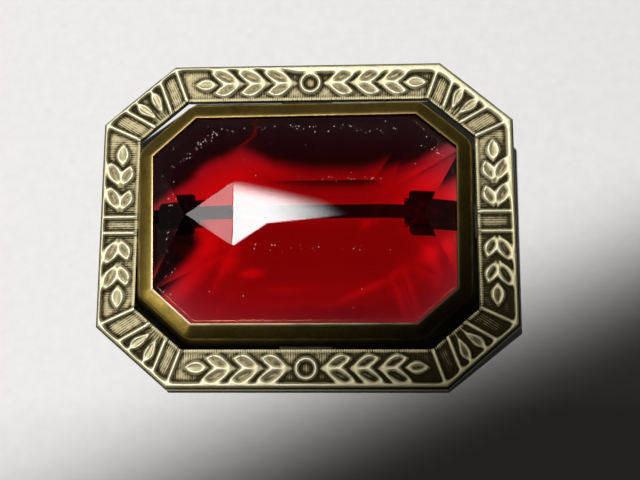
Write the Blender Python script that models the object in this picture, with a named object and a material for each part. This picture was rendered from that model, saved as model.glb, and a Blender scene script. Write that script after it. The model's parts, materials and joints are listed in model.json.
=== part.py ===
"""Brooch: a stamped octagonal frame round an open-backed glass stone in a brass collet, with a pin.

The brooch lies face up. +X runs along its length, +Y across it, and +Z out of its face.
The origin is under the middle, at the lowest point of the fittings on the back.
"""
import math

import bmesh
import bpy
from mathutils import Matrix, Vector

MM = 0.001

# Octagons, as (half length, half width, half of an end edge, half of a side edge), in metres
FRAME_OUTLINE = (24.0 * MM, 19.0 * MM, 12.0 * MM, 15.8 * MM)
WINDOW_OUTLINE = (17.2 * MM, 11.85 * MM, 7.95 * MM, 12.7 * MM)

# Stamped frame
FRAME_WIDTH = 4.35 * MM
RIM_WIDTH = 1.25 * MM
INNER_RIM_WIDTH = 0.35 * MM
FRAME_BACK_Z = 4.3 * MM
INNER_WALL_Z = 4.9 * MM
PANEL_Z = 5.75 * MM
RIM_TOP_Z = 6.1 * MM
SHEET = 0.45 * MM
RELIEF_HEIGHT = 0.25 * MM
RELIEF_ROOT = 0.15 * MM
RELIEF_MIDDLE = (FRAME_WIDTH - RIM_WIDTH + INNER_RIM_WIDTH) / 2.0

# Sprays of leaf pairs: first base, pitch, number of pairs, leaf length, spread at the tip, width, and the last
# leaf's base, tip and width
LONG_SPRAY = (2.0 * MM, 2.95 * MM, 3, 2.3 * MM, 1.15 * MM, 0.95 * MM, (10.75 * MM, 13.6 * MM, 1.1 * MM))
END_SPRAY = (1.6 * MM, 2.6 * MM, 2, 2.2 * MM, 1.1 * MM, 0.95 * MM, (6.6 * MM, 9.2 * MM, 1.2 * MM))
LEAF_ROOT_SPREAD = 0.3 * MM
# Corner fan: each leaf's (along, across) at its base and its tip, and its width
FAN_LEAF = ((0.42 * MM, 0.55 * MM), (1.15 * MM, 2.85 * MM), 0.9 * MM)
# Share of a leaf's length, and its half width there as a share of the widest
LEAF_SHAPE = ((0.0, 0.0), (0.25, 0.8), (0.5, 1.0), (0.8, 0.55), (1.0, 0.0))
LEAF_CROWN = 0.55
LEAF_FLANK = 0.35
RING_RADII = (1.4 * MM, 0.85 * MM)
RING_SEGMENTS = 16
# Ribs, as distances along a panel from its middle: at its inner edge, and at its outer edge
END_RIB_ALONG = (1.05 * MM, 1.05 * MM)
CORNER_RIB_ALONG = (1.55 * MM, 2.3 * MM)
RIB_WIDTH = 0.35 * MM
RIB_HEIGHT = RELIEF_HEIGHT * 0.8
RIB_LAP_INNER = 0.1 * MM
RIB_LAP_OUTER = 0.2 * MM

# Collet round the stone
BEZEL_WIDTH = 1.45 * MM
BEZEL_WALL = 0.4 * MM
BEZEL_BACK_Z = 3.0 * MM
BEZEL_SHOULDER_Z = 7.05 * MM
LIP_Z = 7.92 * MM
LIP_UNDER_Z = 7.62 * MM
CORNER_STEPS = 3

# Stone
GIRDLE_GROWTH = 0.7 * MM
GIRDLE_LOW_Z = 6.45 * MM
GIRDLE_TOP_Z = 7.0 * MM
TABLE_Z = 10.85 * MM
TABLE_HALF_LENGTH = 7.8 * MM
TABLE_HALF_WIDTH = 3.65 * MM
TIP_X = 13.2 * MM
TIP_Z = 10.35 * MM
CULET_Z = 3.35 * MM
CULET_HALF_LENGTH = 9.0 * MM
CULET_HALF_WIDTH = 3.0 * MM

# Bar and fittings on the back
BAR_Y = 1.3 * MM
BAR_LENGTH = 37.0 * MM
BAR_WIDTH = 1.5 * MM
BAR_Z = (2.4 * MM, 2.95 * MM)
PLATE_Z = (2.05 * MM, 2.35 * MM)
FOOT_Z = (1.7 * MM, 2.0 * MM)
JOINT_X = 12.8 * MM
CATCH_X = -13.4 * MM
AXIS_Z = 0.95 * MM
EAR_RADIUS = 0.9 * MM
EAR_THICKNESS = 0.5 * MM
EAR_GAP = 1.0 * MM
RIVET_RADIUS = 0.32 * MM
RIVET_CLEARANCE = 0.05 * MM
RIVET_HEAD_RADIUS = 0.55 * MM
RIVET_HEAD_THICKNESS = 0.28 * MM
EYE_RADIUS = 0.7 * MM
EYE_THICKNESS = 0.88 * MM
WIRE_RADIUS = 0.4 * MM
FLEX_X = 11.1 * MM
PIN_TIP_X = -15.9 * MM
POINT_LENGTH = 6.0 * MM
FIT_GAP = 0.05 * MM

# Catch
CATCH_WIDTH = 1.6 * MM
CATCH_STRIP = 0.42 * MM
CATCH_LEG_Y = BAR_Y + 0.55 * MM
CATCH_LIP_Y = BAR_Y - 0.5 * MM

ROUND_SEGMENTS = 20


def clear_scene():
    """Removes what the scene holds at the start."""
    for thing in list(bpy.data.objects):
        bpy.data.objects.remove(thing, do_unlink=True)


def material(name, colour, roughness, metallic, transmission=0.0):
    """A plain Principled material."""
    made = bpy.data.materials.new(name)
    made.use_nodes = True
    shader = made.node_tree.nodes["Principled BSDF"]
    shader.inputs["Base Color"].default_value = (*colour, 1.0)
    shader.inputs["Roughness"].default_value = roughness
    shader.inputs["Metallic"].default_value = metallic
    shader.inputs["Transmission Weight"].default_value = transmission
    made.diffuse_color = (*colour, 1.0)
    return made


def add_object(name, mesh_builder, finish, smooth_angle=None):
    """Turns a bmesh into a named object with outward faces and one material."""
    bmesh.ops.remove_doubles(mesh_builder, verts=mesh_builder.verts, dist=0.0005 * MM)
    bmesh.ops.recalc_face_normals(mesh_builder, faces=mesh_builder.faces)
    mesh = bpy.data.meshes.new(name)
    mesh_builder.to_mesh(mesh)
    mesh_builder.free()
    mesh.materials.append(finish)
    if smooth_angle is not None:
        mesh.shade_smooth()
        mesh.set_sharp_from_angle(angle=math.radians(smooth_angle))
    made = bpy.data.objects.new(name, mesh)
    bpy.context.scene.collection.objects.link(made)
    return made


def octagon(outline, growth=0.0):
    """The eight corners of a cut-corner octagon, anticlockwise, grown outward by a mitred offset."""
    half_x, half_y, end_half, side_half = outline
    quarter = [Vector((half_x, end_half)), Vector((side_half, half_y))]
    corners = quarter + [Vector((-p.x, p.y)) for p in reversed(quarter)]
    corners += [Vector((-p.x, -p.y)) for p in corners]
    grown = []
    for index, corner in enumerate(corners):
        before = (corner - corners[index - 1]).normalized()
        after = (corners[(index + 1) % 8] - corner).normalized()
        normal_before = Vector((before.y, -before.x))
        normal_after = Vector((after.y, -after.x))
        middle = (normal_before + normal_after) / (1.0 + normal_before.dot(normal_after))
        grown.append(corner + middle * growth)
    return grown


def rounded(corners, radius, steps):
    """A convex outline with each corner turned into an arc of the given radius."""
    points = []
    for index, corner in enumerate(corners):
        before = (corners[index - 1] - corner).normalized()
        after = (corners[(index + 1) % len(corners)] - corner).normalized()
        half_angle = before.angle(after) / 2.0
        centre = corner + (before + after).normalized() * radius / math.sin(half_angle)
        start = corner + before * radius / math.tan(half_angle)
        sweep = math.pi - 2.0 * half_angle
        for step in range(steps + 1):
            turn = Matrix.Rotation(sweep * step / steps, 2)
            points.append(centre + turn @ (start - centre))
    return points


def swept_ring(mesh_builder, outline_at, section):
    """Sweeps a closed section of (growth, height) points round an outline."""
    loops = []
    for growth, height in section:
        loops.append([mesh_builder.verts.new((*point, height)) for point in outline_at(growth)])
    for index, loop in enumerate(loops):
        inner = loops[index - 1]
        count = len(loop)
        for step in range(count):
            following = (step + 1) % count
            mesh_builder.faces.new((inner[step], inner[following], loop[following], loop[step]))


def stacked_solid(mesh_builder, loops):
    """Closes a stack of equal loops of 3-D points into one solid."""
    rows = [[mesh_builder.verts.new(point) for point in loop] for loop in loops]
    for lower, upper in zip(rows, rows[1:]):
        count = len(lower)
        for step in range(count):
            following = (step + 1) % count
            mesh_builder.faces.new((lower[step], lower[following], upper[following], upper[step]))
    mesh_builder.faces.new(rows[0])
    mesh_builder.faces.new(rows[-1])


def box(mesh_builder, low, high):
    """A rectangular block between two corners."""
    (x0, y0, z0), (x1, y1, z1) = low, high
    around = ((x0, y0), (x1, y0), (x1, y1), (x0, y1))
    stacked_solid(mesh_builder, [[(x, y, z) for x, y in around] for z in (z0, z1)])


def apply_boolean(target, other, operation):
    """Applies an exact Boolean to the target and removes the other object."""
    modifier = target.modifiers.new(operation.lower(), "BOOLEAN")
    modifier.operation = operation
    modifier.object = other
    modifier.solver = "EXACT"
    graph = bpy.context.evaluated_depsgraph_get()
    graph.update()
    mesh = bpy.data.meshes.new_from_object(target.evaluated_get(graph))
    target.modifiers.clear()
    old = target.data
    mesh.name = target.name
    target.data = mesh
    bpy.data.meshes.remove(old)
    bpy.data.objects.remove(other, do_unlink=True)


# ---------------------------------------------------------------- frame relief

def panel_places():
    """For each of the eight panels: the middle of its inner edge, its direction, and its kind."""
    inner = octagon(FRAME_OUTLINE, -FRAME_WIDTH)
    kinds = ("corner", "long", "corner", "end") * 2
    places = []
    for index, kind in enumerate(kinds):
        start, finish = inner[index], inner[(index + 1) % 8]
        places.append(((start + finish) / 2.0, (finish - start).normalized(), kind))
    return places


def place_on_panel(place, along, across):
    """A point on the face, from distances along the panel and out from its inner edge."""
    middle, direction, _ = place
    outward = Vector((direction.y, -direction.x))
    return middle + direction * along + outward * across


def leaf(mesh_builder, place, base, tip, width):
    """One raised almond-shaped leaf from base to tip, both (along, across) on its panel."""
    start = place_on_panel(place, *base)
    end = place_on_panel(place, *tip)
    axis = end - start
    side = Vector((-axis.y, axis.x)).normalized() * width / 2.0
    left = [start + axis * s + side * w for s, w in LEAF_SHAPE]
    right = [start + axis * s - side * w for s, w in reversed(LEAF_SHAPE[1:-1])]
    rim = left + right
    middle = (start + end) / 2.0
    crown = [middle + (point - middle) * LEAF_CROWN for point in rim]
    low, high = PANEL_Z - RELIEF_ROOT, PANEL_Z + RELIEF_HEIGHT
    flank = PANEL_Z + RELIEF_HEIGHT * LEAF_FLANK
    stacked_solid(mesh_builder, [
        [(*point, low) for point in rim],
        [(*point, flank) for point in rim],
        [(*point, high) for point in crown],
    ])


def rib_on_panel(mesh_builder, place, side, ends_along):
    """A raised rib across a panel, from its inner edge to its outer edge."""
    reach = FRAME_WIDTH - RIM_WIDTH + RIB_LAP_OUTER
    start = INNER_RIM_WIDTH - RIB_LAP_INNER
    inner_along, outer_along = (side * along for along in ends_along)
    corners = [
        place_on_panel(place, inner_along - RIB_WIDTH / 2.0, start),
        place_on_panel(place, inner_along + RIB_WIDTH / 2.0, start),
        place_on_panel(place, outer_along + RIB_WIDTH / 2.0, reach),
        place_on_panel(place, outer_along - RIB_WIDTH / 2.0, reach),
    ]
    low, high = PANEL_Z - RELIEF_ROOT, PANEL_Z + RIB_HEIGHT
    stacked_solid(mesh_builder, [[(*point, z) for point in corners] for z in (low, high)])


def ring_on_panel(mesh_builder, place, outer_radius, inner_radius):
    """A raised ring in the middle of a long panel."""
    centre = place_on_panel(place, 0.0, RELIEF_MIDDLE)
    low, high = PANEL_Z - RELIEF_ROOT, PANEL_Z + RELIEF_HEIGHT

    def circle(radius):
        turns = [2.0 * math.pi * step / RING_SEGMENTS for step in range(RING_SEGMENTS)]
        return [centre + Vector((math.cos(turn), math.sin(turn))) * radius for turn in turns]

    swept_ring(mesh_builder, circle, [
        (inner_radius, low), (inner_radius, high), (outer_radius, high), (outer_radius, low)])


def spray(mesh_builder, place, side, sizes):
    """Pairs of leaves pointing away from the panel's middle, then one leaf at the end."""
    first, pitch, pairs, length, spread, width, (last_base, last_tip, last_width) = sizes
    for pair in range(pairs):
        base = first + pitch * pair
        for tilt in (-1.0, 1.0):
            leaf(mesh_builder, place, (side * base, RELIEF_MIDDLE + tilt * LEAF_ROOT_SPREAD),
                 (side * (base + length), RELIEF_MIDDLE + tilt * spread), width)
    leaf(mesh_builder, place,
         (side * last_base, RELIEF_MIDDLE), (side * last_tip, RELIEF_MIDDLE), last_width)


def long_panel(mesh_builder, place):
    """Ring, and on each side three pairs of laurel leaves and one leaf at the end."""
    ring_on_panel(mesh_builder, place, *RING_RADII)
    for side in (-1.0, 1.0):
        spray(mesh_builder, place, side, LONG_SPRAY)


def end_panel(mesh_builder, place):
    """Two ribs beside a plain box, and on each side two pairs of leaves and one at the end."""
    for side in (-1.0, 1.0):
        rib_on_panel(mesh_builder, place, side, END_RIB_ALONG)
        spray(mesh_builder, place, side, END_SPRAY)


def corner_panel(mesh_builder, place):
    """A rib on each side of a fan of two leaves; the boxes beyond the ribs are plain."""
    (base_along, base_across), (tip_along, tip_across), width = FAN_LEAF
    for side in (-1.0, 1.0):
        rib_on_panel(mesh_builder, place, side, CORNER_RIB_ALONG)
        leaf(mesh_builder, place, (side * base_along, base_across), (side * tip_along, tip_across), width)


def corner_ribs(mesh_builder):
    """The rib on each mitre between two panels."""
    inner = octagon(FRAME_OUTLINE, -FRAME_WIDTH + INNER_RIM_WIDTH - RIB_LAP_INNER)
    outer = octagon(FRAME_OUTLINE, -RIM_WIDTH + RIB_LAP_OUTER)
    low, high = PANEL_Z - RELIEF_ROOT, PANEL_Z + RIB_HEIGHT
    for start, end in zip(inner, outer):
        side = (end - start).normalized() * RIB_WIDTH / 2.0
        side = Vector((-side.y, side.x))
        corners = [start - side, start + side, end + side, end - side]
        stacked_solid(mesh_builder, [[(*point, z) for point in corners] for z in (low, high)])


def leaf_frame(silver):
    """The stamped frame: a channel open at the back, with its relief joined on."""
    flat = -RIM_WIDTH
    inner_rim = -FRAME_WIDTH + INNER_RIM_WIDTH
    section = [
        (0.0, FRAME_BACK_Z),
        (0.0, PANEL_Z - 0.3 * MM),
        (-0.3 * MM, RIM_TOP_Z - 0.12 * MM),
        (-0.7 * MM, RIM_TOP_Z),
        (-1.05 * MM, RIM_TOP_Z - 0.1 * MM),
        (flat, PANEL_Z),
        (inner_rim, PANEL_Z),
        (inner_rim, PANEL_Z + 0.2 * MM),
        (-FRAME_WIDTH, PANEL_Z + 0.2 * MM),
        (-FRAME_WIDTH, INNER_WALL_Z),
        (-FRAME_WIDTH + SHEET, INNER_WALL_Z),
        (-FRAME_WIDTH + SHEET, PANEL_Z - SHEET),
        (-SHEET, PANEL_Z - SHEET),
        (-SHEET, FRAME_BACK_Z),
    ]
    channel = bmesh.new()
    swept_ring(channel, lambda growth: octagon(FRAME_OUTLINE, growth), section)
    frame = add_object("leaf_frame", channel, silver)

    builders = {"long": long_panel, "end": end_panel, "corner": corner_panel}
    relief = bmesh.new()
    corner_ribs(relief)
    for place in panel_places():
        builders[place[2]](relief, place)
    apply_boolean(frame, add_object("relief", relief, silver), "UNION")
    return frame


# ---------------------------------------------------------------- collet, seat and stone

def collet_outline(growth):
    """The collet's outline at a distance out from the window, with its corners rounded."""
    return rounded(octagon(WINDOW_OUTLINE, growth), 0.15 * MM + 0.9 * growth, CORNER_STEPS)


def bezel(brass):
    """The collet: an upright wall with a sloping shoulder folded over the stone's edge."""
    section = [
        (0.0, LIP_UNDER_Z),
        (0.0, LIP_Z),
        (0.14 * MM, LIP_Z + 0.02 * MM),
        (1.12 * MM, BEZEL_SHOULDER_Z + 0.48 * MM),
        (1.36 * MM, BEZEL_SHOULDER_Z + 0.28 * MM),
        (BEZEL_WIDTH, BEZEL_SHOULDER_Z),
        (BEZEL_WIDTH, BEZEL_BACK_Z),
        (BEZEL_WIDTH - BEZEL_WALL, BEZEL_BACK_Z),
        (BEZEL_WIDTH - BEZEL_WALL, GIRDLE_TOP_Z + 0.1 * MM),
        (0.9 * MM, GIRDLE_TOP_Z + 0.2 * MM),
    ]
    ring = bmesh.new()
    swept_ring(ring, collet_outline, section)
    return add_object("bezel", ring, brass, 40)


def stone_seat(brass):
    """The bearing inside the collet, under the stone's girdle."""
    outside = BEZEL_WIDTH - BEZEL_WALL - FIT_GAP
    section = [
        (0.1 * MM, 5.25 * MM),
        (0.1 * MM, 5.85 * MM),
        (0.55 * MM, 6.2 * MM),
        (outside, 6.2 * MM),
        (outside, 5.25 * MM),
    ]
    ring = bmesh.new()
    swept_ring(ring, collet_outline, section)
    return add_object("stone_seat", ring, brass, 40)


def stone(ruby):
    """The glass: eight girdle sides, a long table with a pointed facet at each end, a low pavilion."""
    cut = bmesh.new()
    girdle = octagon(WINDOW_OUTLINE, GIRDLE_GROWTH)
    upper = [cut.verts.new((*point, GIRDLE_TOP_Z)) for point in girdle]
    lower = [cut.verts.new((*point, GIRDLE_LOW_Z)) for point in girdle]
    table, culet = [], []
    for sign_x, sign_y in ((1, 1), (-1, 1), (-1, -1), (1, -1)):
        table.append(cut.verts.new((sign_x * TABLE_HALF_LENGTH, sign_y * TABLE_HALF_WIDTH, TABLE_Z)))
        culet.append(cut.verts.new((sign_x * CULET_HALF_LENGTH, sign_y * CULET_HALF_WIDTH, CULET_Z)))
    tips = [cut.verts.new((sign * TIP_X, 0.0, TIP_Z)) for sign in (1, -1)]
    for index in range(8):
        following = (index + 1) % 8
        cut.faces.new((lower[index], lower[following], upper[following], upper[index]))
    cut.faces.new(table)
    cut.faces.new(culet)
    # Each quarter goes: corner side, then the long side or the end that follows it
    for quarter in range(4):
        first, second = 2 * quarter, (2 * quarter + 1) % 8
        third = (2 * quarter + 2) % 8
        here, there = quarter, (quarter + 1) % 4
        tip = tips[0] if quarter in (0, 3) else tips[1]
        if quarter % 2 == 0:
            cut.faces.new((upper[first], upper[second], table[here]))
            cut.faces.new((upper[first], table[here], tip))
            cut.faces.new((upper[second], upper[third], table[there], table[here]))
        else:
            cut.faces.new((upper[first], upper[second], table[here]))
            cut.faces.new((upper[second], tip, table[here]))
            cut.faces.new((upper[second], upper[third], tip))
        cut.faces.new((lower[first], lower[second], culet[here]))
        cut.faces.new((lower[second], lower[third], culet[there], culet[here]))
    cut.faces.new((table[0], table[3], tips[0]))
    cut.faces.new((table[1], table[2], tips[1]))
    return add_object("stone", cut, ruby)


def bridges(brass):
    """The soldered tabs across the gap between the collet and the frame."""
    frame_inner = octagon(FRAME_OUTLINE, -FRAME_WIDTH)
    x_outer = frame_inner[0].x - FIT_GAP
    y_outer = frame_inner[1].y - FIT_GAP
    x_inner = WINDOW_OUTLINE[0] + BEZEL_WIDTH + FIT_GAP
    y_inner = WINDOW_OUTLINE[1] + BEZEL_WIDTH + FIT_GAP
    low, high = INNER_WALL_Z + FIT_GAP, INNER_WALL_Z + 0.5 * MM
    long_half, end_half = 3.0 * MM, 2.0 * MM
    spans = {
        "bridge_top": ((-long_half, y_inner), (long_half, y_outer)),
        "bridge_bottom": ((-long_half, -y_outer), (long_half, -y_inner)),
        "bridge_right": ((x_inner, -end_half), (x_outer, end_half)),
        "bridge_left": ((-x_outer, -end_half), (-x_inner, end_half)),
    }
    for name, (start, end) in spans.items():
        tab = bmesh.new()
        box(tab, (*start, low), (*end, high))
        add_object(name, tab, brass)


# ---------------------------------------------------------------- fittings on the back

def rounded_plate(mesh_builder, centre, size, heights, radius):
    """A flat plate with rounded corners."""
    half_x, half_y = size[0] / 2.0, size[1] / 2.0
    corners = [Vector((centre[0] + sx * half_x, centre[1] + sy * half_y))
               for sx, sy in ((1, 1), (-1, 1), (-1, -1), (1, -1))]
    outline = rounded(corners, radius, 4)
    stacked_solid(mesh_builder, [[(*point, z) for point in outline] for z in heights])


def pin_bar(brass):
    """The flat strip soldered across the collet's back edge."""
    strip = bmesh.new()
    rounded_plate(strip, (0.0, BAR_Y), (BAR_LENGTH, BAR_WIDTH), BAR_Z, 0.3 * MM)
    return add_object("pin_bar", strip, brass)


def mounting_plate(name, x, size, brass):
    """A patch plate under the bar."""
    plate = bmesh.new()
    rounded_plate(plate, (x, BAR_Y), size, PLATE_Z, 0.5 * MM)
    return add_object(name, plate, brass)


def axis_cylinder(mesh_builder, radius, y_low, y_high):
    """A cylinder on the joint's axis."""
    turns = [2.0 * math.pi * step / ROUND_SEGMENTS for step in range(ROUND_SEGMENTS)]
    circle = [(JOINT_X + radius * math.cos(turn), AXIS_Z + radius * math.sin(turn)) for turn in turns]
    stacked_solid(mesh_builder, [[(x, y, z) for x, z in circle] for y in (y_low, y_high)])


def bore_tool(name, finish):
    """The cutter for the rivet's hole."""
    bore = bmesh.new()
    axis_cylinder(bore, RIVET_RADIUS + RIVET_CLEARANCE, BAR_Y - 3.0 * MM, BAR_Y + 3.0 * MM)
    return add_object(name, bore, finish)


def joint_knuckle(brass):
    """The folded joint: a foot under its plate and two ears with round ends."""
    half_gap = EAR_GAP / 2.0
    foot = bmesh.new()
    outside = half_gap + EAR_THICKNESS
    box(foot, (JOINT_X - EAR_RADIUS, BAR_Y - outside, FOOT_Z[0]),
        (JOINT_X + EAR_RADIUS, BAR_Y + outside, FOOT_Z[1]))
    knuckle = add_object("joint_knuckle", foot, brass)
    ears = bmesh.new()
    turns = [math.pi + math.pi * step / 12 for step in range(13)]
    outline = [(JOINT_X + EAR_RADIUS * math.cos(turn), AXIS_Z + EAR_RADIUS * math.sin(turn))
               for turn in turns]
    top = (FOOT_Z[0] + FOOT_Z[1]) / 2.0
    outline += [(JOINT_X + EAR_RADIUS, top), (JOINT_X - EAR_RADIUS, top)]
    for side in (-1.0, 1.0):
        walls = (BAR_Y + side * half_gap, BAR_Y + side * outside)
        stacked_solid(ears, [[(x, y, z) for x, z in outline] for y in walls])
    apply_boolean(knuckle, add_object("ears", ears, brass), "UNION")
    apply_boolean(knuckle, bore_tool("knuckle_bore", brass), "DIFFERENCE")
    return knuckle


def joint_rivet(steel):
    """The rivet through the ears, with a low head at each end."""
    reach = EAR_GAP / 2.0 + EAR_THICKNESS + FIT_GAP
    profile = [
        (RIVET_HEAD_RADIUS * 0.6, -reach - RIVET_HEAD_THICKNESS),
        (RIVET_HEAD_RADIUS, -reach - RIVET_HEAD_THICKNESS * 0.55),
        (RIVET_HEAD_RADIUS, -reach),
        (RIVET_RADIUS, -reach),
        (RIVET_RADIUS, reach),
        (RIVET_HEAD_RADIUS, reach),
        (RIVET_HEAD_RADIUS, reach + RIVET_HEAD_THICKNESS * 0.55),
        (RIVET_HEAD_RADIUS * 0.6, reach + RIVET_HEAD_THICKNESS),
    ]
    turns = [2.0 * math.pi * step / ROUND_SEGMENTS for step in range(ROUND_SEGMENTS)]
    turned = bmesh.new()
    stacked_solid(turned, [
        [(radius * math.cos(turn), y, radius * math.sin(turn)) for turn in turns]
        for radius, y in profile])
    rivet = add_object("joint_rivet", turned, steel, 40)
    rivet.location = (JOINT_X, BAR_Y, AXIS_Z)
    return rivet


def wire_loops(stations):
    """Rings of points round a straight wire along X, from (x, radius) stations."""
    turns = [2.0 * math.pi * step / ROUND_SEGMENTS for step in range(ROUND_SEGMENTS)]
    return [[(x, radius * math.cos(turn), radius * math.sin(turn)) for turn in turns]
            for x, radius in stations]


def pin_head(steel):
    """The tong's flattened eye and neck; its origin is on the rivet's axis."""
    eye = bmesh.new()
    axis_cylinder(eye, EYE_RADIUS, BAR_Y - EYE_THICKNESS / 2.0, BAR_Y + EYE_THICKNESS / 2.0)
    head = add_object("pin_head", eye, steel)
    neck = bmesh.new()
    start = EYE_RADIUS * 0.5
    stacked_solid(neck, wire_loops([(-start, WIRE_RADIUS), (FLEX_X - JOINT_X, WIRE_RADIUS)]))
    neck_piece = add_object("neck", neck, steel)
    neck_piece.location = (JOINT_X, BAR_Y, AXIS_Z)
    apply_boolean(head, neck_piece, "UNION")
    apply_boolean(head, bore_tool("eye_bore", steel), "DIFFERENCE")
    head.data.transform(Matrix.Translation((-JOINT_X, -BAR_Y, -AXIS_Z)))
    head.location = (JOINT_X, BAR_Y, AXIS_Z)
    return head


def pin_stem(steel):
    """The tong's springy wire and its point; its origin is where it starts to flex."""
    length = FLEX_X - PIN_TIP_X
    stations = [(-FIT_GAP, WIRE_RADIUS), (-length + POINT_LENGTH, WIRE_RADIUS)]
    for part in (0.35, 0.65, 0.85, 1.0):
        taper = 1.0 - 0.9 * part ** 1.8
        stations.append((-length + POINT_LENGTH * (1.0 - part), WIRE_RADIUS * taper))
    wire = bmesh.new()
    stacked_solid(wire, wire_loops(stations))
    stem = add_object("pin_stem", wire, steel, 40)
    stem.location = (FLEX_X, BAR_Y, AXIS_Z)
    return stem


def catch_hook(brass):
    """A strip bent to a C: a foot under its plate, a leg beside the wire and a lip below it."""
    outer_y = CATCH_LEG_Y + CATCH_STRIP
    bend = 0.5 * MM
    inner_bend = bend - CATCH_STRIP
    foot_y = BAR_Y - 0.95 * MM
    arc = [math.pi * step / 12 for step in range(7)]
    outside = [(outer_y - bend + bend * math.sin(turn), bend - bend * math.cos(turn)) for turn in arc]
    inside = [(outer_y - bend + inner_bend * math.sin(turn), bend - inner_bend * math.cos(turn))
              for turn in reversed(arc)]
    lip_mouth = [(CATCH_LIP_Y, CATCH_STRIP), (CATCH_LIP_Y - 0.12 * MM, CATCH_STRIP / 2.0),
                 (CATCH_LIP_Y, 0.0)]
    foot = [(outer_y, FOOT_Z[1]), (foot_y, FOOT_Z[1]), (foot_y, FOOT_Z[0]), (CATCH_LEG_Y, FOOT_Z[0])]
    outline = lip_mouth + outside + foot + inside
    strip = bmesh.new()
    stacked_solid(strip, [[(CATCH_X + side * CATCH_WIDTH / 2.0, y, z) for y, z in outline]
                          for side in (-1.0, 1.0)])
    return add_object("catch_hook", strip, brass)


def build():
    """Builds every sub-part of the brooch."""
    clear_scene()
    silver = material("antique_silver", (0.55, 0.53, 0.45), 0.35, 1.0)
    brass = material("aged_brass", (0.35, 0.26, 0.09), 0.4, 1.0)
    ruby = material("ruby_glass", (0.6, 0.01, 0.03), 0.03, 0.0, 0.9)
    steel = material("pin_steel", (0.5, 0.48, 0.44), 0.3, 1.0)
    leaf_frame(silver)
    bezel(brass)
    stone_seat(brass)
    stone(ruby)
    bridges(brass)
    pin_bar(brass)
    mounting_plate("joint_plate", JOINT_X, (4.2 * MM, 3.6 * MM), brass)
    mounting_plate("catch_plate", CATCH_X, (3.0 * MM, 3.2 * MM), brass)
    joint_knuckle(brass)
    joint_rivet(steel)
    pin_head(steel)
    pin_stem(steel)
    catch_hook(brass)


build()
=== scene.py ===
"""Looks of the octagonal brooch: stamped silver frame, brass collet, ruby glass and the pin behind."""
import json
import math

import bmesh
import bpy
import numpy as np
from mathutils import Matrix, Vector
from mathutils.bvhtree import BVHTree


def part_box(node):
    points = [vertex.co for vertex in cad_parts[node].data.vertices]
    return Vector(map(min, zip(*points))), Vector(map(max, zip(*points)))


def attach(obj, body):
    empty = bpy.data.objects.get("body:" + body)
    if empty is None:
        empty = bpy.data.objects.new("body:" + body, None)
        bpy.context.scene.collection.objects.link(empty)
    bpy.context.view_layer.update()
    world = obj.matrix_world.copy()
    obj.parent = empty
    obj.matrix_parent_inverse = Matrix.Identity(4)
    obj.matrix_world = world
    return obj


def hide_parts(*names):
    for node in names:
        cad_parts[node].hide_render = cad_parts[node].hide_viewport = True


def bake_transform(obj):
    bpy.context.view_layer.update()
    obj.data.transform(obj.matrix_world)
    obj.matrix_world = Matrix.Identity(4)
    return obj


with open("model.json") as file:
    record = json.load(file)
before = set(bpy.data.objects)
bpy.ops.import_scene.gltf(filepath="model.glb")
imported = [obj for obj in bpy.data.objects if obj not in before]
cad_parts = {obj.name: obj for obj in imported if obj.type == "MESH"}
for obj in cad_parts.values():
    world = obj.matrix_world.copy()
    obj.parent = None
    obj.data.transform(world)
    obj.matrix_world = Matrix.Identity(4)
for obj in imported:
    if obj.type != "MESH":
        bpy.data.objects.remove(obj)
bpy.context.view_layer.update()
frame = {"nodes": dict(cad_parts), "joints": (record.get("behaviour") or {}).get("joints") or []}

MM = 0.001
ROOT = "brooch"

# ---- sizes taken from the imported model

frame_low, frame_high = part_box("leaf_frame")
bezel_low, bezel_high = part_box("bezel")
stone_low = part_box("stone")[0]
stem_low, stem_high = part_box("pin_stem")
hook_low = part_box("catch_hook")[0]

HALF_X, HALF_Y = frame_high.x, frame_high.y
FRAME_OUTLINE = (HALF_X, HALF_Y, 12.0 * MM, 15.8 * MM)
FRAME_WIDTH = 4.35 * MM
RIM_WIDTH = 0.6 * MM
INNER_RIM_WIDTH = 0.36 * MM
PANEL_Z = frame_high.z - 0.35 * MM
SHEET = 0.45 * MM
SKIRT_FLARE = 0.26 * MM
INNER_WALL_Z = frame_low.z + 0.6 * MM

BEZEL_WIDTH = 1.8 * MM
BEZEL_WALL = 0.4 * MM
BEZEL_FLARE = 0.28 * MM
WINDOW_OUTLINE = (bezel_high.x - 1.45 * MM, bezel_high.y - 1.45 * MM, 7.95 * MM, 12.7 * MM)
# The stone's corners were cut by hand: how far each corner of its window is from the regular octagon, mm
CORNER_SHIFTS = ((0.0, 0.3), (0.0, 0.25), (0.0, 0.1), (-0.4, -0.5),
                 (0.1, 0.0), (0.0, 0.0), (-0.25, 0.0), (-0.25, 0.0))
# The collet's foot spreads towards the frame, most at the lower corners, and is painted near black as the
# shade in the gaps: (corner, shift), mm
FOOT_SHIFTS = ((4, (-1.3, -0.7)), (5, (-0.7, -0.95)), (6, (0.75, -1.15)), (7, (1.1, -0.85)),
               (0, (0.7, 0.1)))

JOINT = next(j for j in frame["joints"] if j["name"] == "pin_swing")
AXIS = Vector(JOINT["pos_m"])


# ---- mesh helpers

def add_object(name, mesh, material, body=ROOT, smooth_angle=None):
    """Links a mesh as a piece that rides on a body, with one material."""
    mesh.materials.clear()
    mesh.materials.append(material)
    if smooth_angle is not None:
        mesh.shade_smooth()
        mesh.set_sharp_from_angle(angle=math.radians(smooth_angle))
    made = bpy.data.objects.new(name, mesh)
    bpy.context.scene.collection.objects.link(made)
    if body:
        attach(made, body)
    return made


def finished(builder, name):
    """Turns a bmesh into a mesh with outward faces."""
    bmesh.ops.recalc_face_normals(builder, faces=builder.faces)
    mesh = bpy.data.meshes.new(name)
    builder.to_mesh(mesh)
    builder.free()
    return mesh


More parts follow.
